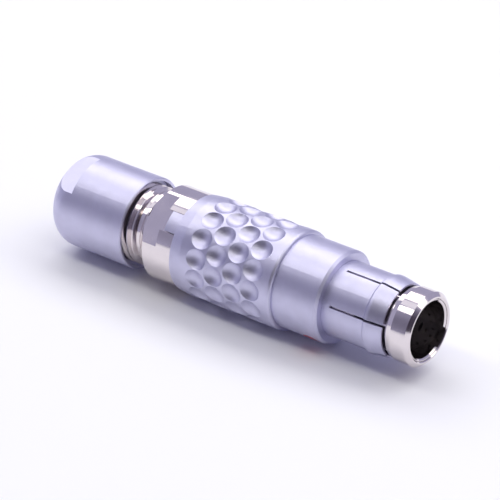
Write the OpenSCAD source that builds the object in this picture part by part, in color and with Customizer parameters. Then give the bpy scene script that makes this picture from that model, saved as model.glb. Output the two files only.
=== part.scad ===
// Push pull circular connector: a ten-contact cable plug with a slotted latch
// sleeve, a sliding release shell and a collet nut.
// It stands on its nose rim: z = 0 is the rim and +Z points to the cable end.
// +X is square to the first pair of spanner flats.

/* [Nose] */
// Bore of the nose tube; every other diameter stacks up from it
nose_bore_d = 9.1; // [9.05:0.05:9.4]
// Wall of the nose ring
nose_wall = 0.95; // [0.9:0.05:1.1]
// Length of the nose ring
ring_len = 3.7; // [3.4:0.1:4]
// Chamfer of the ring's front edge
ring_chamfer = 0.55; // [0.4:0.05:0.6]
// Length of the taper at the ring's rear
ring_taper_len = 0.75; // [0.6:0.05:0.9]
// Drop of the taper at the ring's rear
ring_taper = 0.2; // [0.15:0.05:0.25]
// Drop from the ring to the lands that guide the latch sleeve
land_drop = 0.4; // [0.35:0.05:0.45]
// Drop from the lands to the relief under the latch fingers
relief_drop = 0.25; // [0.15:0.05:0.3]
// Length of the relief under the latch fingers
relief_len = 5.3; // [5:0.1:5.6]
// Length of the threaded tube inside the rear body
tube_thread_len = 4.8; // [4:0.1:5.4]

/* [Latch sleeve] */
// Wall of the latch sleeve
latch_wall = 0.4; // [0.35:0.05:0.5]
// Height of the latching ridge
ridge_h = 0.25; // [0.15:0.05:0.35]
// Length of the sloping front of the latching ridge
ridge_ramp_len = 2.4; // [2:0.1:2.8]
// Gap between the nose ring and the finger tips
latch_gap = 0.65; // [0.6:0.05:0.9]
// Length of the latch sleeve in front of the shell
latch_show = 10.05; // [9.8:0.05:10.8]
// Number of latch fingers
finger_count = 6; // [4:1:8]
// Width of the saw cuts between the fingers
slit_w = 0.35; // [0.25:0.05:0.5]
// Bare sleeve left between the shell face and the saw cuts
slit_margin = 1.25; // [0.8:0.05:2]
// Height of the flange that the shell pulls on
flange_h = 0.7; // [0.6:0.05:0.9]
// Thickness of the flange
flange_len = 0.8; // [0.6:0.1:1]

/* [Outer shell] */
// Wall of the dimpled grip
grip_wall = 1.15; // [1.1:0.05:1.4]
// Step from the grip down to the plain zone at the front
front_step = 0.55; // [0.4:0.05:0.7]
// Length of the plain zone at the shell's front
front_len = 7.6; // [6:0.1:8]
// Length of the dimpled grip
grip_len = 18; // [17.8:0.1:18.4]
// Chamfer of the shell's front edge
front_chamfer = 0.35; // [0.2:0.05:0.45]
// Radius of the grip's front edge
step_round = 0.5; // [0.3:0.05:0.55]
// Length of the tapered lip at the shell's rear
lip_taper_len = 1.8; // [1.4:0.1:2.2]
// Depth of the counterbore behind the lip
lip_depth = 2.7; // [2.4:0.1:3]
// Width of the key tongues at the shell's rear
tongue_w = 3.1; // [2.4:0.1:3.6]
// Length of the key tongues past the shell's rear edge
tongue_len = 1.9; // [1.4:0.1:2.2]

/* [Grip dimples] */
// Diameter of the ball that forms a dimple
dimple_ball_d = 4.8; // [4.4:0.1:5]
// Depth of a dimple
dimple_depth = 0.7; // [0.4:0.05:0.75]
// Dimples in one row around the grip
dimple_columns = 15; // [12:1:15]
// Rows of dimples
dimple_rows = 4; // [3:1:4]
// Spacing of the rows along the axis
dimple_row_pitch = 3.25; // [3:0.05:3.3]
// Distance from the grip's front to the first row
dimple_first = 3.5; // [3:0.1:3.8]

/* [Alignment dot] */
// Diameter of the enamelled dot
dot_d = 2.6; // [1.6:0.1:3]
// Depth of the dot's recess
dot_depth = 0.35; // [0.2:0.05:0.5]
// Distance of the dot's centre from the shell's front face
dot_setback = 2.35; // [2:0.05:4]
// Angle of the dot from the first tongue
dot_angle = -97; // [-120:1:-80]

/* [Rear body] */
// Step from the grip down to the rear body
body_step = 0.3; // [0.2:0.05:0.4]
// Depth of the spanner flats
flat_depth = 1.2; // [1:0.05:1.3]
// Length of the body covered by the shell's lip
lip_cover = 1; // [0.8:0.1:1.4]
// Full-diameter length behind the grip, up to the chamfer
body_show = 5.1; // [4.8:0.1:5.6]
// Length of the spanner flats, up to the chamfer
flat_len = 2.4; // [2:0.1:2.6]
// Size of the rear chamfer
body_chamfer = 1; // [0.8:0.05:1.1]
// Length of the relief groove in front of the thread
groove_len = 0.9; // [0.6:0.1:1.2]
// Depth of the relief groove below the thread's root
groove_depth = 0.15; // [0.1:0.05:0.2]
// Length of the thread for the back nut
thread_len = 6.9; // [6.6:0.1:7.2]
// Depth of the thread
thread_depth = 0.55; // [0.5:0.05:0.6]
// Wall between the thread's root and the collet bore
thread_wall = 0.55; // [0.5:0.05:0.6]

/* [Back nut] */
// Step from the rear body down to the nut
nut_step = 0.2; // [0.1:0.05:0.3]
// Wall of the nut outside its thread
nut_wall = 1; // [0.9:0.05:1.1]
// Length of the back nut
nut_len = 14.1; // [13.9:0.1:15]
// Gap between the rear body and the nut with the nut as drawn
nut_gap = 3.3; // [3.3:0.1:3.6]
// Depth of the nut's front counterbore
counterbore_len = 1; // [0.8:0.1:1.4]
// Depth of the seat that presses on the collet
nut_seat_depth = 9.25; // [9.1:0.05:9.4]
// Depth of the nut's spanner flats
nut_flat_depth = 1; // [0.8:0.05:1.1]
// Length of the nut's spanner flats
nut_flat_len = 4.1; // [3.4:0.1:4.4]
// Angle of the nut's flats from the body's flats, as drawn
nut_turn = 20; // [0:5:90]
// Radius that rounds the nut's cable end
nut_round = 3.25; // [3.1:0.05:3.6]
// Length of the rounded cable end
nut_dome_len = 3; // [2.6:0.1:3]
// Chamfer at the mouth of the cable entry
entry_chamfer = 0.3; // [0.2:0.05:0.4]

/* [Insert] */
// Wall of the half shells that carry the insulator
carrier_wall = 0.3; // [0.25:0.05:0.35]
// Width of the keying windows between the half shells
window_w = 3; // [2:0.1:3.6]
// Length of the keying windows
window_len = 8; // [6:0.5:9]
// Angle of the line that divides the half shells
split_angle = -7; // [-30:1:30]
// Depth of the half shells' front behind the nose rim
carrier_depth = 0.2; // [0.15:0.05:0.4]
// Chamfer inside the half shells' front
carrier_chamfer = 0.2; // [0.1:0.05:0.2]
// Depth of the insulator's face behind the nose rim
face_depth = 5.9; // [5.6:0.1:6.2]
// Length of the insulator
insulator_len = 8; // [7.6:0.1:8.5]
// Distance from the insulator's face to its locating rib
rib_setback = 3.9; // [3.6:0.1:4.4]
// Length of the locating rib
rib_len = 1; // [0.8:0.1:1.2]
// Contacts on the outer circle
outer_contacts = 8; // [6:1:8]
// Insulator left outside the outer contacts
insulator_wall = 0.7; // [0.6:0.05:0.8]
// Contacts at the middle
inner_contacts = 2; // [1:1:2]
// Distance of the middle contacts from the axis
inner_circle_r = 0.95; // [0.9:0.05:1]
// Outer diameter of a contact
contact_d = 1.2; // [1:0.05:1.25]
// Bore that takes the mating pin
socket_d = 0.72; // [0.5:0.02:0.8]
// Depth of the bore that takes the mating pin
socket_len = 5; // [4:0.5:6]
// Length of a solder cup behind the contact's shoulder
cup_len = 4.4; // [3.2:0.1:5]
// Depth of the solder cup
cup_depth = 3; // [2.4:0.1:3.2]

/* [Cable clamp] */
// Wall of the collet
collet_wall = 0.85; // [0.75:0.05:0.95]
// Length of the collet
collet_len = 8.8; // [8.6:0.1:9]
// Thickness of the collet's collar
collet_collar_len = 1.2; // [1:0.1:1.4]
// Number of saw cuts in the collet
collet_slits = 6; // [4:1:6]
// Width of the collet's saw cuts
collet_slit_w = 0.7; // [0.5:0.1:0.9]
// Length of the collet's tapered tip
collet_tip = 1; // [0.8:0.1:1.2]
// Width of the collet's two keys
key_w = 1.5; // [1:0.1:1.6]
// Height of the collet's two keys
key_h = 0.3; // [0.25:0.05:0.35]
// Length of the collet's two keys
key_len = 6.4; // [5:0.1:6.6]
// Length of the cone that closes the collet
seat_cone_len = 1.2; // [1:0.1:1.4]

/* [Shield cone] */
// Step from the half shells' bore in to the cone's bore
cone_step = 0.7; // [0.6:0.05:0.8]
// Wall of the shield cone
cone_wall = 0.4; // [0.3:0.05:0.5]
// Length of the shield cone
cone_len = 14; // [12:0.5:14.5]
// Length of its tapered end
cone_taper_len = 5; // [4:0.5:6]
// Amount that its end narrows
cone_taper = 0.6; // [0.4:0.05:0.7]
// Thickness of the flange that the half shells press on
cone_flange_len = 0.9; // [0.7:0.1:1.2]

/* [Motion] */
// Travel of the shell when it is pulled back to unlatch
release_travel = 1.3; // [1:0.1:1.5]
// Travel of the back nut from here to fully tight
nut_travel_in = 3.2; // [3:0.1:3.3]

/* [Hidden] */
$fn = 96;
eps = 0.01;
slide_fit = 0.05;
seat_fit = 0.02;
end_fit = 0.1;
edge_break = 0.15;

// Diameters, from the nose tube outwards
nose_d = nose_bore_d + 2 * nose_wall;
land_d = nose_d - 2 * land_drop;
relief_d = land_d - 2 * relief_drop;
tube_thread_d = land_d - 0.2;
latch_bore_d = land_d + 4 * slide_fit;
latch_d = latch_bore_d + 2 * latch_wall;
ridge_d = latch_d + 2 * ridge_h;
guide_d = latch_d + 2 * flange_h;
shell_bore_d = guide_d + 2 * slide_fit;
grip_d = shell_bore_d + 2 * grip_wall;
front_d = grip_d - 2 * front_step;
body_d = grip_d - 2 * body_step;
body_flats = body_d - 2 * flat_depth;
nut_d = body_d - 2 * nut_step;
nut_flats = nut_d - 2 * nut_flat_depth;
thread_d = nut_d - 2 * nut_wall;
nut_bore_d = thread_d + 2 * slide_fit;
counterbore_d = thread_d + 1.1;
thread_root_d = thread_d - 2 * thread_depth;
groove_d = thread_root_d - 2 * groove_depth;
clamp_bore_d = thread_root_d - 2 * thread_wall;
collet_d = clamp_bore_d - 2 * slide_fit;
collet_bore_d = collet_d - 2 * collet_wall;
collet_collar_d = nut_bore_d - 0.5;
entry_d = collet_bore_d + 0.4;

// Heights of the nose and the latch sleeve, from front to rear
rim_chamfer = 0.15;
ramp_len = 0.4;
guide_z = ring_len + relief_len;
latch_tip_z = ring_len + latch_gap;
ridge_ramp_z = latch_tip_z + ridge_ramp_len;
ridge_crest_z = ridge_ramp_z + 0.45;
ridge_base_z = ridge_crest_z + 0.3;
tip_drop = 0.15;

// Heights of the outer shell
shell_z = latch_tip_z + latch_show;
grip_z = shell_z + front_len;
shell_end_z = grip_z + grip_len;
shell_wall_z = grip_z + 0.3;
lip_wall = 0.06;
lip_bore_d = body_d + 2 * slide_fit - 0.02;
tongue_d = lip_bore_d + 2 * lip_wall;
tongue_gap = 0.1;

// Heights of the rear body
body_front_z = shell_wall_z + flange_len + release_travel + end_fit;
shoulder_z = shell_end_z - lip_cover;
body_rear_z = shell_end_z + body_show;
chamfer_end_z = body_rear_z + body_chamfer;
flat_z = body_rear_z - flat_len;
thread_z = chamfer_end_z + groove_len;
body_end_z = thread_z + thread_len;
tube_end_z = body_front_z + tube_thread_len;
collar_len = 0.95;
collar_d = tube_thread_d - 2 * slide_fit;
body_step_z = tube_end_z + collar_len + 2 * seat_fit;

// Heights of the back nut and the collet
nut_z = chamfer_end_z + nut_gap;
nut_end_z = nut_z + nut_len;
nut_seat_z = nut_z + nut_seat_depth;
nut_dome_z = nut_end_z - nut_dome_len;
collet_end_z = nut_seat_z - seat_fit;
collet_z = collet_end_z - collet_len;
collet_collar_z = collet_end_z - collet_collar_len;
key_z = collet_collar_z - key_len;
seat_cone_z = collet_z - nut_travel_in - seat_cone_len - eps;

// Insert
carrier_d = nose_bore_d - 2 * slide_fit;
carrier_bore_d = carrier_d - 2 * carrier_wall;
body_bore_d = carrier_d - 0.2;
insulator_d = carrier_bore_d - 2 * slide_fit;
insulator_end_z = face_depth + insulator_len;
rib_z = face_depth + rib_setback;
rib_d = carrier_d - 0.28;
split_gap = 0.1;
outer_circle_r = (insulator_d - contact_d) / 2 - insulator_wall;
chamber_d = contact_d + 0.06;
socket_skin = 0.45;
shoulder_d = contact_d + 0.4;
shoulder_len = 0.5;
cup_wall = 0.18;
cup_d = contact_d - 2 * cup_wall;
cup_open = 1.8;

// Shield cone
cone_z = body_step_z + seat_fit;
cone_bore_d = carrier_bore_d - 2 * cone_step;

// A turned body: the profile is in radius and height
module turned() rotate_extrude() children();

// A plain ring between two heights
module ring(outer_d, inner_d, z0, z1) {
    turned() translate([inner_d / 2, z0]) square([(outer_d - inner_d) / 2, z1 - z0]);
}

// A plug that cuts a round hole between two heights
module hole(d, z0, z1) {
    translate([0, 0, z0]) cylinder(d = d, h = z1 - z0);
}

// Two opposite cuts square to X, outside a width, between two heights
module flats_cut(width, z0, z1) {
    for (turn = [0, 180]) rotate(turn)
        translate([width / 2, -grip_d, z0]) cube([grip_d, 2 * grip_d, z1 - z0]);
}

// The staggered dimples of the grip: each is the part of a ball inside the grip's skin
module dimples() {
    pitch = 360 / dimple_columns;
    centre_r = (grip_d + dimple_ball_d) / 2 - dimple_depth;
    for (row = [0 : dimple_rows - 1], column = [0 : dimple_columns - 1])
        rotate(pitch * (column + (row % 2 == 0 ? 0.25 : -0.25)))
            translate([0, 0, grip_z + dimple_first + row * dimple_row_pitch])
                intersection() {
                    translate([centre_r, 0, 0]) sphere(d = dimple_ball_d, $fn = 48);
                    cylinder(d = grip_d + 0.04, h = dimple_ball_d, center = true);
                }
}

// Outline of the outer shell in radius and height, without its tongues
module shell_outline() {
    difference() {
        union() {
            polygon([
                [0, shell_z], [front_d / 2 - front_chamfer, shell_z],
                [front_d / 2, shell_z + front_chamfer], [front_d / 2, grip_z + step_round],
                [0, grip_z + step_round]]);
            translate([0, grip_z]) square([grip_d / 2 - step_round, 2 * step_round]);
            translate([grip_d / 2 - step_round, grip_z + step_round]) circle(r = step_round, $fn = 32);
            polygon([
                [0, grip_z + step_round], [grip_d / 2, grip_z + step_round],
                [grip_d / 2, shell_end_z - lip_taper_len], [tongue_d / 2, shell_end_z],
                [0, shell_end_z]]);
        }
        translate([0, shell_z - 1]) square([latch_d / 2 + seat_fit, grip_len]);
        translate([0, shell_wall_z]) square([shell_bore_d / 2, grip_len]);
        translate([0, shell_end_z - lip_depth]) square([lip_bore_d / 2, grip_len]);
    }
}

// The keys that run in the rear body's slots
module tongues() {
    root_z = shell_end_z - lip_depth - 0.5;
    for (turn = [0, 180]) rotate(turn) intersection() {
        ring(tongue_d, shell_bore_d + 0.1, root_z, shell_end_z + tongue_len);
        translate([0, -tongue_w / 2, root_z]) cube([grip_d, tongue_w, grip_len]);
    }
}

// Recess of the alignment dot, deeper than the surface
module dot_plug(d, bottom_r) {
    rotate(dot_angle) translate([bottom_r, 0, shell_z + dot_setback])
        rotate([0, 90, 0]) cylinder(d = d, h = front_d / 2, $fn = 48);
}

module outer_shell() {
    color("lightsteelblue") difference() {
        union() {
            turned() shell_outline();
            tongues();
        }
        dimples();
        dot_plug(dot_d + 2 * seat_fit, front_d / 2 - dot_depth - seat_fit);
    }
}

module alignment_dot() {
    color("firebrick") intersection() {
        dot_plug(dot_d, front_d / 2 - dot_depth);
        hole(front_d, shell_z, grip_z);
    }
}

module latch_sleeve() {
    inner_r = latch_bore_d / 2;
    color("silver") difference() {
        turned() polygon([
            [inner_r, latch_tip_z], [latch_d / 2 - tip_drop, latch_tip_z],
            [ridge_d / 2, ridge_ramp_z], [ridge_d / 2, ridge_crest_z],
            [latch_d / 2, ridge_base_z], [latch_d / 2, shell_wall_z],
            [guide_d / 2, shell_wall_z], [guide_d / 2, shell_wall_z + flange_len],
            [inner_r, shell_wall_z + flange_len]]);
        for (i = [0 : finger_count - 1]) rotate((i + 0.5) * 360 / finger_count)
            translate([0, -slit_w / 2, 0]) cube([ridge_d, slit_w, shell_z - slit_margin]);
    }
}

module nose_tube() {
    bore_r = nose_bore_d / 2;
    color("mistyrose") turned() polygon([
        [bore_r + rim_chamfer, 0], [nose_d / 2 - ring_chamfer, 0],
        [nose_d / 2, ring_chamfer], [nose_d / 2, ring_len - ring_taper_len],
        [nose_d / 2 - ring_taper, ring_len], [relief_d / 2, ring_len], [relief_d / 2, guide_z],
        [land_d / 2, guide_z + ramp_len], [land_d / 2, body_front_z - ring_taper],
        [tube_thread_d / 2, body_front_z], [tube_thread_d / 2, tube_end_z],
        [bore_r, tube_end_z], [bore_r, rim_chamfer]]);
}

// Outline of the rear body in radius and height, before its flats and slots
module body_outline() {
    polygon([
        [tube_thread_d / 2 + slide_fit, body_front_z], [guide_d / 2, body_front_z],
        [guide_d / 2, shoulder_z], [body_d / 2, shoulder_z],
        [body_d / 2, body_rear_z], [body_d / 2 - body_chamfer, chamfer_end_z],
        [groove_d / 2, chamfer_end_z], [groove_d / 2, thread_z - groove_depth],
        [thread_root_d / 2, thread_z], [thread_root_d / 2, body_end_z],
        [clamp_bore_d / 2, body_end_z], [clamp_bore_d / 2, seat_cone_z + seat_cone_len],
        [body_bore_d / 2, seat_cone_z], [body_bore_d / 2, body_step_z],
        [tube_thread_d / 2 + slide_fit, body_step_z]]);
}

module rear_body() {
    slot_w = tongue_w + 2 * tongue_gap;
    color("rosybrown") difference() {
        turned() body_outline();
        flats_cut(body_flats, flat_z, chamfer_end_z);
        intersection() {
            flats_cut(body_flats, shoulder_z - 1, flat_z + eps);
            translate([-grip_d, -slot_w / 2, shoulder_z - 1]) cube([2 * grip_d, slot_w, grip_len]);
        }
        for (turn = [90, 270]) rotate(turn) intersection() {
            ring(clamp_bore_d + 2 * key_h, collet_bore_d, key_z - nut_travel_in - end_fit, body_end_z + 1);
            translate([0, -key_w / 2 - slide_fit, 0]) cube([grip_d, key_w + 2 * slide_fit, nut_end_z]);
        }
    }
}

// One half shell on the +Y side of the dividing plane
module half_shell() {
    rotate(split_angle) difference() {
        union() {
            ring(carrier_d, carrier_bore_d, carrier_depth, body_step_z - seat_fit);
            ring(collar_d, carrier_bore_d, tube_end_z + seat_fit, body_step_z - seat_fit);
        }
        translate([0, 0, carrier_depth]) cylinder(
            d1 = carrier_bore_d + 2 * carrier_chamfer, d2 = carrier_bore_d, h = carrier_chamfer);
        ring(rib_d + 2 * seat_fit, carrier_bore_d - 1, rib_z - seat_fit, rib_z + rib_len + seat_fit);
        translate([-grip_d, -2 * grip_d + split_gap / 2, -1]) cube([2 * grip_d, 2 * grip_d, nut_z]);
        translate([-grip_d, -window_w / 2, -1]) cube([2 * grip_d, window_w, carrier_depth + window_len + 1]);
    }
}

module half_shell_a() color("gainsboro") half_shell();

module half_shell_b() color("gainsboro") rotate(180) half_shell();

// Place of a contact, counted from one: the outer circle first
function contact_place(i) = i <= outer_contacts
    ? [outer_circle_r, split_angle + (i - 0.5) * 360 / outer_contacts]
    : [inner_contacts > 1 ? inner_circle_r : 0, split_angle + (i - 1) * 360 / inner_contacts];

module at_contact(i) {
    rotate(contact_place(i)[1]) translate([contact_place(i)[0], 0, 0]) children();
}

module insulator() {
    color("dimgray") difference() {
        union() {
            ring(insulator_d, 0, face_depth, insulator_end_z);
            ring(rib_d, 0, rib_z, rib_z + rib_len);
        }
        for (i = [1 : outer_contacts + inner_contacts]) at_contact(i) {
            hole(chamber_d, face_depth + socket_skin, insulator_end_z + 1);
            hole(socket_d + 0.1, face_depth - 1, face_depth + 1);
        }
    }
}

// A turned contact: pin socket in front, shoulder, and an open solder cup behind
module contact(i) {
    front_z = face_depth + socket_skin + seat_fit;
    cup_end_z = insulator_end_z + shoulder_len + cup_len;
    color("gold") at_contact(i) difference() {
        union() {
            hole(contact_d, front_z, cup_end_z);
            hole(shoulder_d, insulator_end_z, insulator_end_z + shoulder_len);
        }
        hole(socket_d, front_z - 1, front_z + socket_len);
        hole(cup_d, cup_end_z - cup_depth, cup_end_z + 1);
        translate([0, -contact_d, cup_end_z - cup_open]) cube(2 * contact_d);
    }
}

module shield_cone() {
    bore_r = cone_bore_d / 2;
    tube_r = bore_r + cone_wall;
    end_z = cone_z + cone_len;
    color("khaki") turned() polygon([
        [bore_r, cone_z], [body_bore_d / 2 - slide_fit, cone_z],
        [body_bore_d / 2 - slide_fit, cone_z + cone_flange_len], [tube_r, cone_z + cone_flange_len],
        [tube_r, end_z - cone_taper_len], [tube_r - cone_taper, end_z],
        [bore_r - cone_taper, end_z], [bore_r, end_z - cone_taper_len]]);
}

module collet() {
    outer_r = collet_d / 2;
    color("darkkhaki") difference() {
        union() {
            turned() polygon([
                [collet_bore_d / 2, collet_z], [outer_r - collet_tip / 3, collet_z],
                [outer_r, collet_z + collet_tip], [outer_r, collet_collar_z],
                [collet_collar_d / 2, collet_collar_z], [collet_collar_d / 2, collet_end_z],
                [collet_bore_d / 2, collet_end_z]]);
            for (turn = [90, 270]) rotate(turn) intersection() {
                ring(collet_d + 2 * key_h, collet_d - collet_wall, key_z, collet_collar_z + eps);
                translate([0, -key_w / 2, 0]) cube([grip_d, key_w, nut_end_z]);
            }
        }
        for (i = [0 : collet_slits - 1]) rotate(i * 360 / collet_slits)
            translate([0, -collet_slit_w / 2, collet_z - collet_tip])
                cube([grip_d, collet_slit_w, collet_len - collet_collar_len]);
    }
}

// Outline of the back nut in radius and height, before its flats
module nut_outline() {
    difference() {
        union() {
            polygon([
                [0, nut_z], [nut_d / 2 - edge_break, nut_z], [nut_d / 2, nut_z + edge_break],
                [nut_d / 2, nut_dome_z], [0, nut_dome_z]]);
            intersection() {
                translate([nut_d / 2 - nut_round, nut_dome_z]) circle(r = nut_round);
                translate([nut_d / 2 - nut_round, nut_dome_z - eps])
                    square([nut_round, nut_dome_len + eps]);
            }
            translate([0, nut_dome_z - eps]) square([nut_d / 2 - nut_round + eps, nut_dome_len + eps]);
        }
        translate([0, nut_z - 1]) square([counterbore_d / 2, counterbore_len + 1]);
        translate([0, nut_z]) square([nut_bore_d / 2, nut_seat_z - nut_z]);
        translate([0, nut_z]) square([entry_d / 2, nut_len + 1]);
        polygon([
            [0, nut_end_z - entry_chamfer], [entry_d / 2, nut_end_z - entry_chamfer],
            [entry_d / 2 + entry_chamfer + end_fit, nut_end_z + end_fit], [0, nut_end_z + end_fit]]);
    }
}

module back_nut() {
    color("lightsteelblue") difference() {
        turned() nut_outline();
        rotate(nut_turn) flats_cut(nut_flats, nut_end_z - nut_flat_len, nut_end_z + 1);
    }
}

outer_shell();
alignment_dot();
latch_sleeve();
nose_tube();
rear_body();
half_shell_a();
half_shell_b();
insulator();
for (i = [1 : outer_contacts + inner_contacts])
    contact(i);
shield_cone();
collet();
back_nut();
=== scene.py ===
"""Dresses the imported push-pull plug with its finishes, its cut thread and a small studio.

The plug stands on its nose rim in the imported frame, with +Z towards the cable end. The
studio is turned round it: the floor is the upright plane that touches the grip's side,
so in the main view the plug lies on its side.
"""

from __future__ import annotations

import logging
import math
from dataclasses import dataclass, field
from enum import Enum

import bpy
import numpy as np
from mathutils import Matrix


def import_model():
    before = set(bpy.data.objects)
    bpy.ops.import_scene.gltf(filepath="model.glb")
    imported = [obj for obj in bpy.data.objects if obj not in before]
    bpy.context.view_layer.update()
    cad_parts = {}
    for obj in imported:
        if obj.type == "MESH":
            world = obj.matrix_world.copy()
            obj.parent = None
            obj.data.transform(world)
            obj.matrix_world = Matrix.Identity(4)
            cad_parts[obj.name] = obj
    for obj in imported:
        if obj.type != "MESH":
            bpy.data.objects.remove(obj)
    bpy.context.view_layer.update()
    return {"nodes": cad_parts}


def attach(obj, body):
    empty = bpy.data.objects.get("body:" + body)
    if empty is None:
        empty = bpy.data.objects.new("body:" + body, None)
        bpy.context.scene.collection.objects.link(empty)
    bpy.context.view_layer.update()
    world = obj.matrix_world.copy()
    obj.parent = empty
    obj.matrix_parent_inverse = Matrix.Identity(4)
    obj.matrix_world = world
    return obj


LOG = logging.getLogger("plug")
MM = 0.001


class Slot(Enum):
    """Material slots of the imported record."""

    SATIN = "satin_chrome"
    NICKEL = "polished_nickel"
    ENAMEL = "red_enamel"
    MOULDING = "insulator_black"
    GOLD = "gold_contact"
    BRASS = "plated_brass"


class Axis(Enum):
    """Channels of a coordinate that a node group can read."""

    X = 0
    Y = 1
    Z = 2


# --------------------------------------------------------------------------- nodes


@dataclass
class NodeSheet:
    """Adds nodes to one tree and links them with few words.

    Args:
        tree: The node tree that is written to.
    """

    tree: bpy.types.NodeTree

    def add(self, kind: str, **settings: object) -> bpy.types.Node:
        """Adds a node and sets its own properties.

        Args:
            kind: Blender's name of the node type.
            **settings: Properties of the node.

        Returns:
            The new node.
        """
        node = self.tree.nodes.new(kind)
        for name, value in settings.items():
            setattr(node, name, value)
        return node

    def feed(self, node: bpy.types.Node, **inputs: object) -> bpy.types.Node:
        """Fills a node's inputs with values or links.

        Args:
            node: The node to fill.
            **inputs: Socket names with underscores for spaces, or i0, i1 for the place in
                the list; each holds a number, a colour, a vector or an output socket.

        Returns:
            The same node.
        """
        for name, value in inputs.items():
            if name[0] == "i" and name[1:].isdigit():
                socket = node.inputs[int(name[1:])]
            else:
                socket = node.inputs[name.replace("_", " ")]
            if isinstance(value, bpy.types.NodeSocket):
                self.tree.links.new(value, socket)
            else:
                socket.default_value = value
        return node

    def math(self, operation: str, a: object, b: object = 0.0) -> bpy.types.NodeSocket:
        """Adds a Math node and returns its result."""
        node = self.feed(self.add("ShaderNodeMath", operation=operation), i0=a, i1=b)
        return node.outputs[0]

    def remap(self, value: object, low: float, high: float, to_low: float,
              to_high: float) -> bpy.types.NodeSocket:
        """Maps a value from one range to another, held at the ends.

        Args:
            value: The value or socket to map.
            low: Start of the range read.
            high: End of the range read.
            to_low: Result at the start.
            to_high: Result at the end.

        Returns:
            The mapped value.
        """
        node = self.feed(self.add("ShaderNodeMapRange"), i0=value, i1=low, i2=high,
                         i3=to_low, i4=to_high)
        return node.outputs[0]

    def mix_colour(self, factor: object, a: object, b: object) -> bpy.types.NodeSocket:
        """Mixes two colours by a factor and returns the result."""
        node = self.add("ShaderNodeMix", data_type="RGBA")
        self.feed(node, i0=factor, i6=a, i7=b)
        return node.outputs[2]

    def coordinates(self) -> bpy.types.NodeSocket:
        """Returns the object coordinates, in metres."""
        return self.add("ShaderNodeTexCoord").outputs["Object"]

    def noise(self, per_metre: object, detail: float = 2.0,
              roughness: float = 0.5) -> bpy.types.NodeSocket:
        """Adds noise on the object coordinates.

        Args:
            per_metre: Waves of noise in a metre, as a number or a socket.
            detail: Octaves of finer noise.
            roughness: Strength of the finer octaves.

        Returns:
            The noise value, about 0 to 1.
        """
        node = self.feed(self.add("ShaderNodeTexNoise"), Vector=self.coordinates(),
                         Scale=per_metre, Detail=detail, Roughness=roughness)
        return node.outputs["Fac"]


class EffectGroup:
    """Base of the shader effects that several finishes share: one node group each."""

    name = "effect"
    takes: dict[str, float] = {}
    gives: tuple[str, ...] = ("Height",)

    def tree(self) -> bpy.types.NodeTree:
        """Returns the effect's node group, made on first use."""
        found = bpy.data.node_groups.get(self.name)
        if found:
            return found
        group = bpy.data.node_groups.new(self.name, "ShaderNodeTree")
        for socket, start in self.takes.items():
            made = group.interface.new_socket(
                name=socket, in_out="INPUT", socket_type="NodeSocketFloat")
            made.default_value = start
        for socket in self.gives:
            group.interface.new_socket(
                name=socket, in_out="OUTPUT", socket_type="NodeSocketFloat")
        sheet = NodeSheet(group)
        self.draw(sheet, sheet.add("NodeGroupInput"), sheet.add("NodeGroupOutput"))
        return group

    def draw(self, sheet: NodeSheet, source: bpy.types.Node, sink: bpy.types.Node) -> None:
        """Draws the group's nodes between its input and output nodes.

        Args:
            sheet: The group's sheet.
            source: The group's input node.
            sink: The group's output node.
        """
        raise NotImplementedError

    def place(self, sheet: NodeSheet, **values: float) -> bpy.types.Node:
        """Places the group in a material with its own values.

        Args:
            sheet: The material's sheet.
            **values: The group's inputs.

        Returns:
            The group node.
        """
        node = sheet.add("ShaderNodeGroup")
        node.node_tree = self.tree()
        return sheet.feed(node, **values)


class BlastedGrain(EffectGroup):
    """The fine, even pitting that bead blasting leaves under the plating."""

    name = "blasted_grain"
    takes = {"Grain": 9000.0, "Depth": 1.0}
    gives = ("Height", "Mask")

    def draw(self, sheet: NodeSheet, source: bpy.types.Node, sink: bpy.types.Node) -> None:
        """Draws two sizes of noise, the coarse one weaker."""
        fine = sheet.noise(source.outputs["Grain"], detail=3.0, roughness=0.6)
        coarse = sheet.noise(sheet.math("MULTIPLY", source.outputs["Grain"], 0.22), detail=1.0)
        both = sheet.math("ADD", fine, sheet.math("MULTIPLY", coarse, 0.5))
        sheet.feed(sink, Height=sheet.math("MULTIPLY", both, source.outputs["Depth"]),
                   Mask=coarse)


class LatheLines(EffectGroup):
    """The faint rings that a lathe leaves round the plug's axis."""

    name = "lathe_lines"
    takes = {"Pitch": 0.00006, "Depth": 1.0}

    def draw(self, sheet: NodeSheet, source: bpy.types.Node, sink: bpy.types.Node) -> None:
        """Draws noise that changes along the axis and across the radius, never round it."""
        split = sheet.feed(sheet.add("ShaderNodeSeparateXYZ"), Vector=sheet.coordinates())
        across = sheet.math("SQRT", sheet.math(
            "ADD", sheet.math("POWER", split.outputs[Axis.X.value], 2.0),
            sheet.math("POWER", split.outputs[Axis.Y.value], 2.0)))
        place = sheet.feed(sheet.add("ShaderNodeCombineXYZ"), X=across,
                           Y=split.outputs[Axis.Z.value])
        rate = sheet.math("DIVIDE", 1.0, source.outputs["Pitch"])
        lines = sheet.feed(sheet.add("ShaderNodeTexNoise"), Vector=place.outputs[0],
                           Scale=rate, Detail=1.0)
        sheet.feed(sink, Height=sheet.math("MULTIPLY", lines.outputs["Fac"],
                                           source.outputs["Depth"]))


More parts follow.
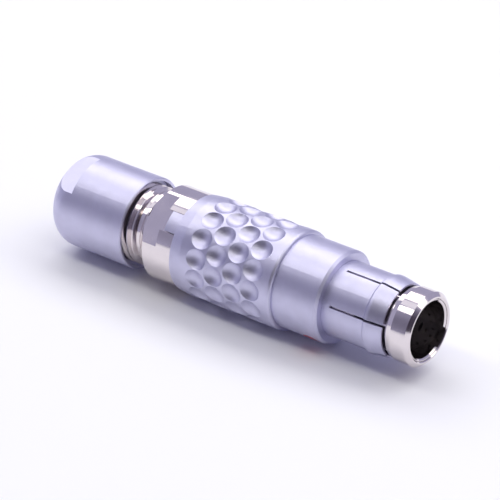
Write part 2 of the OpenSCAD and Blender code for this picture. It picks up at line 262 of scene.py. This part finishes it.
class HandlingMarks(EffectGroup):
    """Soft uneven patches, as handling and cleaning leave on plated metal."""

    name = "handling_marks"
    takes = {"Size": 0.004, "Low": 0.0, "High": 1.0}
    gives = ("Value",)

    def draw(self, sheet: NodeSheet, source: bpy.types.Node, sink: bpy.types.Node) -> None:
        """Draws broad noise mapped between the two ends."""
        broad = sheet.noise(sheet.math("DIVIDE", 1.0, source.outputs["Size"]), detail=4.0)
        eased = sheet.remap(broad, 0.35, 0.65, 0.0, 1.0)
        span = sheet.math("SUBTRACT", source.outputs["High"], source.outputs["Low"])
        sheet.feed(sink, Value=sheet.math(
            "ADD", source.outputs["Low"], sheet.math("MULTIPLY", eased, span)))


# ------------------------------------------------------------------------ finishes


@dataclass(frozen=True)
class Finish:
    """Common part of the finishes: a named material with one Principled shader.

    Args:
        slot: The record's slot that the finish belongs to.
        colour: Base colour, linear.
        roughness: Roughness in the smoothest patches.
        spread: Extra roughness in the dullest patches.
    """

    slot: Slot
    colour: tuple[float, float, float]
    roughness: float
    spread: float

    def start(self, metallic: float) -> tuple[bpy.types.Material, NodeSheet, bpy.types.Node]:
        """Makes the material with its shader and uneven roughness.

        Args:
            metallic: 1 for bare metal, 0 for plastic and enamel.

        Returns:
            The material, its sheet and the Principled node.
        """
        material = bpy.data.materials.new(self.slot.value)
        material.use_nodes = True
        material.node_tree.nodes.clear()
        sheet = NodeSheet(material.node_tree)
        shader = sheet.add("ShaderNodeBsdfPrincipled")
        output = sheet.add("ShaderNodeOutputMaterial")
        sheet.feed(output, Surface=shader.outputs[0])
        marks = HandlingMarks().place(sheet, Low=self.roughness,
                                      High=self.roughness + self.spread)
        sheet.feed(shader, Metallic=metallic, Roughness=marks.outputs["Value"])
        return material, sheet, shader

    def tint(self, sheet: NodeSheet, shader: bpy.types.Node, depth: float) -> None:
        """Lets the base colour darken slightly in soft patches.

        Args:
            sheet: The material's sheet.
            shader: Its Principled node.
            depth: Share of the colour lost in the darkest patches.
        """
        patches = HandlingMarks().place(sheet, Size=0.0021, Low=0.0, High=1.0)
        dark = tuple(c * (1.0 - depth) for c in self.colour)
        sheet.feed(shader, Base_Color=sheet.mix_colour(
            patches.outputs["Value"], (*self.colour, 1.0), (*dark, 1.0)))

    def relief(self, sheet: NodeSheet, shader: bpy.types.Node, height: object,
               strength: float, distance: float) -> None:
        """Feeds a height to the shader's normal through one Bump node.

        Args:
            sheet: The material's sheet.
            shader: Its Principled node.
            height: Output socket of the height.
            strength: Strength of the bump.
            distance: Height of a full step, in metres.
        """
        bump = sheet.feed(sheet.add("ShaderNodeBump"), Strength=strength, Distance=distance,
                          Height=height)
        sheet.feed(shader, Normal=bump.outputs[0])

    def make(self) -> bpy.types.Material:
        """Returns the finished material."""
        raise NotImplementedError


@dataclass(frozen=True)
class SatinChrome(Finish):
    """Bead-blasted brass under pearl chrome."""

    slot: Slot = Slot.SATIN
    colour: tuple[float, float, float] = (0.60, 0.59, 0.75)
    roughness: float = 0.42
    spread: float = 0.04

    def make(self) -> bpy.types.Material:
        """Returns the satin chrome."""
        material, sheet, shader = self.start(1.0)
        self.tint(sheet, shader, 0.05)
        grain = BlastedGrain().place(sheet, Grain=6500.0, Depth=1.0)
        self.relief(sheet, shader, grain.outputs["Height"], 0.55, 0.00003)
        return material


@dataclass(frozen=True)
class PolishedNickel(Finish):
    """Turned brass under bright, slightly warm nickel."""

    slot: Slot = Slot.NICKEL
    colour: tuple[float, float, float] = (0.76, 0.705, 0.71)
    roughness: float = 0.07
    spread: float = 0.07

    def make(self) -> bpy.types.Material:
        """Returns the polished nickel."""
        material, sheet, shader = self.start(1.0)
        self.tint(sheet, shader, 0.04)
        lines = LatheLines().place(sheet, Pitch=0.00009, Depth=1.0)
        self.relief(sheet, shader, lines.outputs["Height"], 0.12, 0.000006)
        return material


@dataclass(frozen=True)
class RedEnamel(Finish):
    """Deep red enamel filled into a recess."""

    slot: Slot = Slot.ENAMEL
    colour: tuple[float, float, float] = (0.58, 0.008, 0.02)
    roughness: float = 0.22
    spread: float = 0.08

    def make(self) -> bpy.types.Material:
        """Returns the enamel."""
        material, sheet, shader = self.start(0.0)
        self.tint(sheet, shader, 0.12)
        ripple = sheet.noise(1500.0, detail=1.0)
        self.relief(sheet, shader, ripple, 0.1, 0.00003)
        sheet.feed(shader, Coat_Weight=0.5, Coat_Roughness=0.06)
        return material


@dataclass(frozen=True)
class BlackMoulding(Finish):
    """Near-black engineering plastic with a fine eroded skin."""

    slot: Slot = Slot.MOULDING
    colour: tuple[float, float, float] = (0.012, 0.010, 0.011)
    roughness: float = 0.50
    spread: float = 0.12

    def make(self) -> bpy.types.Material:
        """Returns the moulding's plastic."""
        material, sheet, shader = self.start(0.0)
        self.tint(sheet, shader, 0.25)
        grain = BlastedGrain().place(sheet, Grain=6000.0, Depth=1.0)
        self.relief(sheet, shader, grain.outputs["Height"], 0.3, 0.00002)
        sheet.feed(shader, Specular_IOR_Level=0.25)
        return material


@dataclass(frozen=True)
class GoldPlate(Finish):
    """Thin hard gold over turned contacts."""

    slot: Slot = Slot.GOLD
    colour: tuple[float, float, float] = (0.86, 0.60, 0.25)
    roughness: float = 0.16
    spread: float = 0.10

    def make(self) -> bpy.types.Material:
        """Returns the gold plating."""
        material, sheet, shader = self.start(1.0)
        self.tint(sheet, shader, 0.10)
        grain = BlastedGrain().place(sheet, Grain=14000.0, Depth=1.0)
        self.relief(sheet, shader, grain.outputs["Height"], 0.15, 0.000006)
        return material


@dataclass(frozen=True)
class PlatedBrass(Finish):
    """Plain nickel over machined brass, duller than the visible nickel."""

    slot: Slot = Slot.BRASS
    colour: tuple[float, float, float] = (0.66, 0.61, 0.54)
    roughness: float = 0.20
    spread: float = 0.10

    def make(self) -> bpy.types.Material:
        """Returns the inner plating."""
        material, sheet, shader = self.start(1.0)
        self.tint(sheet, shader, 0.08)
        lines = LatheLines().place(sheet, Pitch=0.00012, Depth=1.0)
        self.relief(sheet, shader, lines.outputs["Height"], 0.2, 0.00001)
        return material


@dataclass
class FinishRack:
    """All finishes of the plug, made once and handed out by slot."""

    made: dict[Slot, bpy.types.Material] = field(default_factory=dict)

    def fill(self) -> None:
        """Makes every finish."""
        for kind in (SatinChrome, PolishedNickel, RedEnamel, BlackMoulding, GoldPlate,
                     PlatedBrass):
            finish = kind()
            self.made[finish.slot] = finish.make()

    def dress(self, obj: bpy.types.Object, slot: Slot) -> None:
        """Gives an object's slots the finish of a record slot.

        Args:
            obj: The object to dress.
            slot: The record's slot.
        """
        if not obj.data.materials:
            obj.data.materials.append(self.made[slot])
        for place in obj.material_slots:
            place.material = self.made[slot]


# -------------------------------------------------------------------------- meshes


def grid_mesh(name: str, points: np.ndarray, wrap_u: bool, wrap_v: bool,
              caps: bool = False) -> bpy.types.Object:
    """Makes a quad mesh from a grid of points.

    Quad (i, j) joins points (i, j), (i + 1, j), (i + 1, j + 1) and (i, j + 1).

    Args:
        name: Name of the object.
        points: Array of shape (rows, columns, 3), in metres.
        wrap_u: Joins the last row to the first.
        wrap_v: Joins the last column to the first.
        caps: Closes the first and last row with one face each.

    Returns:
        The new object, linked to the scene.
    """
    rows, columns, _ = points.shape
    u = np.arange(rows if wrap_u else rows - 1)[:, None]
    v = np.arange(columns if wrap_v else columns - 1)[None, :]
    next_u, next_v = (u + 1) % rows, (v + 1) % columns
    quads = np.stack([u * columns + v, next_u * columns + v,
                      next_u * columns + next_v, u * columns + next_v], axis=-1)
    faces = quads.reshape(-1, 4).tolist()
    if caps:
        faces.append(list(range(columns)))
        faces.append([(rows - 1) * columns + j for j in reversed(range(columns))])
    mesh = bpy.data.meshes.new(name)
    mesh.from_pydata(points.reshape(-1, 3).tolist(), [], faces)
    mesh.validate()
    mesh.update()
    obj = bpy.data.objects.new(name, mesh)
    bpy.context.scene.collection.objects.link(obj)
    return obj


def shade_smooth(obj: bpy.types.Object, sharp_degrees: float) -> None:
    """Shades a mesh smooth, with edges sharper than an angle kept crisp.

    Args:
        obj: The object to shade.
        sharp_degrees: Angle between faces above which an edge stays sharp.
    """
    obj.data.shade_smooth()
    obj.data.set_sharp_from_angle(angle=math.radians(sharp_degrees))


# --------------------------------------------------------------------- sub-assemblies


@dataclass
class CutThread:
    """The thread on the rear body that the back nut runs on.

    A ridge of trapezium section is carried along a right-handed helix: at turn t it lies
    at the angle 2 pi t and the height start + pitch t, where the start is set from the
    body's end. Its depth fades in and out at the two ends.

    Args:
        root_r: Radius of the body under the thread.
        crest_r: Radius of the thread's crest.
        pitch: Rise of one turn.
        length: Length of the thread.
        end_gap: Distance from its last point to the body's end.
        crest_w: Width of the crest.
        root_w: Width of the ridge at its root.
        fade: Turns over which the ridge fades.
        steps: Steps in one turn.
        sunk: Depth of the ridge's foot below the root.
        sharp_degrees: Angle above which an edge stays crisp.
    """

    root_r: float = 5.45 * MM
    crest_r: float = 6.0 * MM
    pitch: float = 1.0 * MM
    length: float = 6.6 * MM
    end_gap: float = 0.25 * MM
    crest_w: float = 0.14 * MM
    root_w: float = 0.80 * MM
    fade: float = 0.35
    steps: int = 72
    sunk: float = 0.03 * MM
    sharp_degrees: float = 25.0

    def build(self, body: bpy.types.Object, rack: FinishRack) -> bpy.types.Object:
        """Builds the thread and lets it ride on the plug's core.

        Args:
            body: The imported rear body, whose end the thread is placed from.
            rack: The finishes.

        Returns:
            The thread's object.
        """
        body_end = max((body.matrix_world @ vertex.co).z for vertex in body.data.vertices)
        start = body_end - self.end_gap - self.length
        turns = self.length / self.pitch
        t = np.linspace(0.0, turns, int(turns * self.steps) + 1)[:, None]
        rise = np.clip(np.minimum(t, turns - t) / self.fade, 0.0, 1.0)
        half_root, half_crest = self.root_w / 2, self.crest_w / 2
        side = np.array([-1.0, -1.0, 1.0, 1.0])[None, :]
        half = np.array([half_root, half_crest, half_crest, half_root])[None, :]
        high = np.array([0.0, 1.0, 1.0, 0.0])[None, :]
        foot_r = self.root_r - self.sunk
        radius = foot_r + high * rise * (self.crest_r - foot_r)
        angle = 2.0 * np.pi * t + 0.0 * side
        height = start + self.pitch * t + side * half
        points = np.stack([radius * np.cos(angle), radius * np.sin(angle), height], axis=-1)
        obj = grid_mesh("rear_thread", points, wrap_u=False, wrap_v=True, caps=True)
        shade_smooth(obj, self.sharp_degrees)
        rack.dress(obj, Slot.NICKEL)
        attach(obj, "plug_core")
        return obj


@dataclass
class PlugParts:
    """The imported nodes, dressed with their finishes."""

    slots: dict[str, Slot] = field(default_factory=lambda: {
        "outer_shell": Slot.SATIN, "back_nut": Slot.SATIN, "latch_sleeve": Slot.SATIN,
        "nose_tube": Slot.NICKEL, "rear_body": Slot.NICKEL, "half_shell_a": Slot.NICKEL,
        "half_shell_b": Slot.NICKEL, "alignment_dot": Slot.ENAMEL,
        "insulator": Slot.MOULDING, "shield_cone": Slot.BRASS, "collet": Slot.BRASS})
    contacts: int = 10

    def dress(self, nodes: dict[str, bpy.types.Object], rack: FinishRack) -> None:
        """Dresses every node.

        Args:
            nodes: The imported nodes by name.
            rack: The finishes.
        """
        slots = dict(self.slots)
        slots.update({f"contact_{i + 1}": Slot.GOLD for i in range(self.contacts)})
        for name, slot in slots.items():
            rack.dress(nodes[name], slot)
            LOG.info("%s: %s", name, slot.value)


# -------------------------------------------------------------------------- studio


@dataclass(frozen=True)
class Softbox:
    """A long lamp that lies along the plug.

    Args:
        name: Name of the lamp.
        azimuth: Azimuth of its middle, in degrees.
        half_width: Half the angle that it fills round the plug, in degrees.
        radiance: Brightness of its surface, where 1 is white.
    """

    name: str
    azimuth: float
    half_width: float
    radiance: float


@dataclass(frozen=True)
class Room:
    """Colours of the world round the plug, linear.

    Args:
        wall: The room in general.
        dim: The side towards the camera.
        dark: The part before the nose.
        backdrop: What the camera sees behind the plug.
        dim_azimuth: Azimuth of the dim side, in degrees.
        dim_share: Length of the dim direction's part square to the axis.
        dim_lean: Its part along the axis, negative towards the nose.
        dim_from: Dot product with the dim direction where dimming starts.
        dark_from: Where the room is dim and starts to darken.
        dark_to: Where it is dark.
    """

    wall: tuple[float, ...] = (0.44, 0.43, 0.61, 1.0)
    dim: tuple[float, ...] = (0.17, 0.16, 0.24, 1.0)
    dark: tuple[float, ...] = (0.06, 0.05, 0.08, 1.0)
    backdrop: tuple[float, ...] = (0.96, 0.96, 0.97, 1.0)
    dim_azimuth: float = -20.0
    dim_share: float = 0.9
    dim_lean: float = -0.44
    dim_from: float = 0.42
    dark_from: float = 0.60
    dark_to: float = 0.73


@dataclass
class Studio:
    """Floor, world, lamps and camera, turned round the standing plug.

    Args:
        up_azimuth: Azimuth of the studio's upward direction, in degrees.
        floor_drop: Distance of the floor from the plug's axis.
        floor_size: Side of the floor.
        floor_colour: Colour of the floor, linear.
        lamps: The lamps.
        lamp_reach: Distance of the lamps from the plug's axis.
        lamp_length: Length of the lamps along the plug.
        lamp_middle: Height of the lamps' middle.
        lamp_colour: Colour of their light.
        room: The world's colours.
        camera_at: Place of the camera.
        camera_right: Direction of the picture's right side.
        camera_up: Direction of the picture's upper side.
        camera_lens: Focal length for a sensor 36 mm wide.
    """

    up_azimuth: float = 43.0
    floor_drop: float = 7.5 * MM
    floor_size: float = 4.0
    floor_colour: tuple[float, ...] = (0.915, 0.92, 0.96, 1.0)
    lamps: tuple[Softbox, ...] = (
        Softbox("key_softbox", 71.0, 16.5, 2.0),
        Softbox("front_softbox", 23.0, 5.5, 3.4),
        Softbox("middle_softbox", 41.5, 9.0, 0.55))
    lamp_reach: float = 0.50
    lamp_length: float = 1.3
    lamp_middle: float = 32.0 * MM
    lamp_colour: tuple[float, float, float] = (1.0, 0.99, 0.90)
    room: Room = Room()
    camera_at: tuple[float, float, float] = (357.554 * MM, -68.853 * MM, -193.983 * MM)
    camera_right: tuple[float, float, float] = (-0.414165, 0.444680, -0.794184)
    camera_up: tuple[float, float, float] = (0.364846, 0.880478, 0.302731)
    camera_lens: float = 216.0

    def direction(self, azimuth: float) -> np.ndarray:
        """Returns the unit vector square to the axis at an azimuth in degrees."""
        turn = math.radians(azimuth)
        return np.array([math.cos(turn), math.sin(turn), 0.0])

    def add_floor(self) -> bpy.types.Object:
        """Adds the floor, pale and seen from its upper side only.

        Returns:
            The floor's object.
        """
        up, back = self.direction(self.up_azimuth), self.direction(self.up_azimuth + 90.0)
        axis = np.array([0.0, 0.0, 1.0])
        half = self.floor_size / 2
        steps = np.linspace(-half, half, 9)
        across, along = np.meshgrid(steps, steps, indexing="ij")
        points = (-self.floor_drop * up + across[..., None] * back + along[..., None] * axis)
        floor = grid_mesh("studio_floor", points, wrap_u=False, wrap_v=False)
        material = bpy.data.materials.new("studio_floor")
        material.use_nodes = True
        material.node_tree.nodes.clear()
        sheet = NodeSheet(material.node_tree)
        paper = sheet.feed(sheet.add("ShaderNodeBsdfDiffuse"),
                           Color=self.floor_colour, Roughness=0.0)
        clear = sheet.add("ShaderNodeBsdfTransparent")
        rays, side = sheet.add("ShaderNodeLightPath"), sheet.add("ShaderNodeNewGeometry")
        hidden = sheet.math("MULTIPLY", rays.outputs["Is Camera Ray"],
                            side.outputs["Backfacing"])
        mix = sheet.feed(sheet.add("ShaderNodeMixShader"), i0=hidden, i1=paper.outputs[0],
                         i2=clear.outputs[0])
        sheet.feed(sheet.add("ShaderNodeOutputMaterial"), Surface=mix.outputs[0])
        floor.data.materials.append(material)
        return floor

    def add_lamp(self, lamp: Softbox) -> None:
        """Adds one softbox, turned to face the plug.

        Args:
            lamp: The softbox.
        """
        light = bpy.data.lights.new(lamp.name, "AREA")
        light.shape = "RECTANGLE"
        width = 2.0 * self.lamp_reach * math.tan(math.radians(lamp.half_width))
        light.size, light.size_y = width, self.lamp_length
        light.energy = lamp.radiance * math.pi * width * self.lamp_length
        light.color = self.lamp_colour
        obj = bpy.data.objects.new(lamp.name, light)
        out, along = self.direction(lamp.azimuth), np.array([0.0, 0.0, 1.0])
        side = np.cross(along, out)
        matrix = np.eye(4)
        matrix[:3, :3] = np.stack([side, along, out], axis=1)
        matrix[:3, 3] = out * self.lamp_reach + along * self.lamp_middle
        obj.matrix_world = Matrix(matrix.tolist())
        obj.visible_camera = False
        bpy.context.scene.collection.objects.link(obj)

    def add_world(self) -> None:
        """Adds the room: pale lavender, dim towards the camera and dark before the nose."""
        world = bpy.data.worlds.new("room")
        world.use_nodes = True
        world.node_tree.nodes.clear()
        sheet = NodeSheet(world.node_tree)
        look = sheet.add("ShaderNodeTexCoord").outputs["Generated"]
        room = self.room
        dim_way = room.dim_share * self.direction(room.dim_azimuth)
        dim_way = dim_way + np.array([0.0, 0.0, room.dim_lean])
        facing = sheet.feed(sheet.add("ShaderNodeVectorMath", operation="DOT_PRODUCT"),
                            i0=look, i1=tuple(dim_way)).outputs["Value"]
        dimness = sheet.remap(facing, room.dim_from, room.dark_from, 0.0, 1.0)
        darkness = sheet.remap(facing, room.dark_from, room.dark_to, 0.0, 1.0)
        walls = sheet.mix_colour(dimness, room.wall, room.dim)
        walls = sheet.mix_colour(darkness, walls, room.dark)
        rays = sheet.add("ShaderNodeLightPath")
        seen = sheet.mix_colour(rays.outputs["Is Camera Ray"], walls, room.backdrop)
        shade = sheet.feed(sheet.add("ShaderNodeBackground"), Color=seen, Strength=1.0)
        sheet.feed(sheet.add("ShaderNodeOutputWorld"), Surface=shade.outputs[0])
        bpy.context.scene.world = world

    def add_camera(self) -> None:
        """Adds the camera from its place and its two axes."""
        data = bpy.data.cameras.new("camera")
        data.sensor_width, data.lens = 36.0, self.camera_lens
        data.clip_start, data.clip_end = 0.01, 20.0
        camera = bpy.data.objects.new("camera", data)
        right = np.array(self.camera_right) / np.linalg.norm(self.camera_right)
        up = np.array(self.camera_up)
        up = up - right * (right @ up)
        up /= np.linalg.norm(up)
        matrix = np.eye(4)
        matrix[:3, :3] = np.stack([right, up, np.cross(right, up)], axis=1)
        matrix[:3, 3] = self.camera_at
        camera.matrix_world = Matrix(matrix.tolist())
        bpy.context.scene.collection.objects.link(camera)
        bpy.context.scene.camera = camera

    def build(self) -> None:
        """Builds the whole studio."""
        self.add_camera()
        self.add_floor()
        self.add_world()
        for lamp in self.lamps:
            self.add_lamp(lamp)
        scene = bpy.context.scene
        scene.view_settings.view_transform = "Standard"


def main() -> None:
    """Builds the classes in order."""
    logging.basicConfig(level=logging.INFO, format="%(name)s: %(message)s")
    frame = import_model()
    Studio().build()
    rack = FinishRack()
    rack.fill()
    PlugParts().dress(frame["nodes"], rack)
    thread = CutThread().build(frame["nodes"]["rear_body"], rack)
    LOG.info("%s: %d faces", thread.name, len(thread.data.polygons))


if __name__ == "__main__":
    main()
